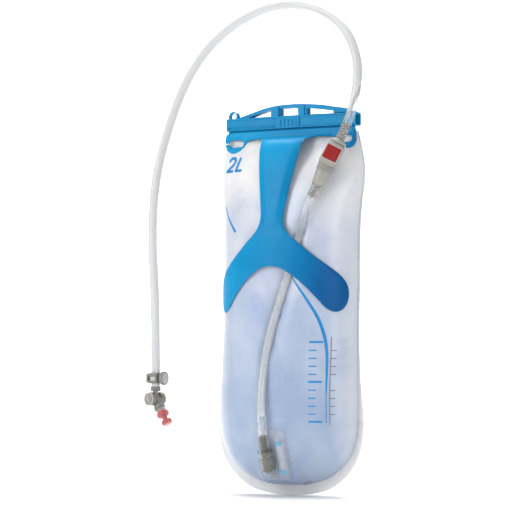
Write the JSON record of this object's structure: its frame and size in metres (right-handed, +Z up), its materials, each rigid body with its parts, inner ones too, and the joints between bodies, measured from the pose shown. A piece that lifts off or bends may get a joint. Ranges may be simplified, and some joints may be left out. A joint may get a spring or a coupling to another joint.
{
  "type": "hydration bladder",
  "caption": "Clear soft water reservoir with a slide-on top closure, Y-shaped backer plate, foot port, quick-release coupling, drinking hose, magnet clip and swivelling bite valve.",
  "frame": {"origin": "on the front face of the hang tabs, midway between the two hang slots that hold the reservoir up in a pack", "axes": "+Z up towards the closure, -Y out of the front of the reservoir where the backer plate and port are, +X towards the open end of the slider"},
  "size_m": [0.2695, 0.0869, 0.5116],
  "materials": {
    "clear_film": "frosted clear polyurethane film with a faint lavender tint",
    "clear_strap": "clear flexible strap",
    "clear_hose": "clear flexible tube",
    "clear_plastic": "clear moulded plastic",
    "clear_silicone": "clear silicone",
    "red_silicone": "translucent red silicone",
    "blue_plastic": "satin moulded blue plastic",
    "grey_plastic": "satin moulded warm grey plastic",
    "pale_plastic": "pale satin plastic",
    "red_plastic": "satin red plastic",
    "black_rubber": "matte rubber seal",
    "spring_steel": "stainless spring steel",
    "magnet_steel": "nickel plated magnet"
  },
  "bodies": {
    "reservoir": {"front_film": "clear_film", "back_film": "clear_film", "folded_mouth": "clear_film", "mouth_rail": "blue_plastic", "backer_plate": "blue_plastic", "tether_loop": "clear_strap", "lower_hose": "clear_hose", "port_base": "clear_plastic", "port_housing": "clear_plastic", "port_barb": "grey_plastic", "port_seal": "black_rubber", "port_clip": "clear_plastic", "port_clip_pads": "blue_plastic", "socket_body": "grey_plastic", "button_bezel": "pale_plastic", "button_springs": "spring_steel", "check_valve_spring": "spring_steel"},
    "slider": {"top_slider": "blue_plastic", "tether": "clear_strap"},
    "button": {"release_button": "red_plastic", "latch_bar": "spring_steel"},
    "check_valve": {"check_valve_poppet": "grey_plastic"},
    "drinking_hose": {"plug_body": "grey_plastic", "plug_seal": "black_rubber", "upper_hose": "clear_hose", "valve_fitting": "grey_plastic"},
    "hose_clip": {"magnet_clip": "grey_plastic", "magnet": "magnet_steel"},
    "bite_valve": {"valve_spool": "grey_plastic", "spool_seals": "black_rubber"},
    "valve_outlet": {"valve_barrel": "grey_plastic", "barrel_end_cap": "grey_plastic", "valve_lever": "clear_plastic", "mouthpiece": "clear_silicone", "mouthpiece_valve": "red_silicone"}
  },
  "joints": [
    {"name": "slider_draw", "type": "slide", "parent": "reservoir", "child": "slider", "axis": [-1, 0, 0], "range_m": [0, 0.155], "deforming": ["tether"]},
    {"name": "button_press", "type": "slide", "parent": "reservoir", "child": "button", "axis": [-0.4323, 0.8998, -0.0588], "range_m": [0, 0.0016], "stiffness_N_per_m": 600, "deforming": ["button_springs"]},
    {"name": "check_valve_lift", "type": "slide", "parent": "reservoir", "child": "check_valve", "axis": [0.3826, 0.2421, 0.8916], "range_m": [0, 0.0015], "stiffness_N_per_m": 150, "deforming": ["check_valve_spring"]},
    {"name": "coupling_pull", "type": "slide", "parent": "reservoir", "child": "drinking_hose", "axis": [0.3826, 0.2421, 0.8916], "range_m": [0, 0.03]},
    {"name": "clip_slide", "type": "slide", "parent": "drinking_hose", "child": "hose_clip", "axis": [0, 0, 1], "range_m": [-0.002, 0.015]},
    {"name": "valve_swivel", "type": "hinge", "parent": "drinking_hose", "child": "bite_valve", "pos_m": [-0.166, 0.0085, -0.2675], "axis": [0, 0, 1], "continuous": true},
    {"name": "valve_twist", "type": "hinge", "parent": "bite_valve", "child": "valve_outlet", "pos_m": [-0.166, 0.0085, -0.2675], "axis": [0.2419, 0.9703, 0], "range_deg": [-35, 35]}
  ]
}
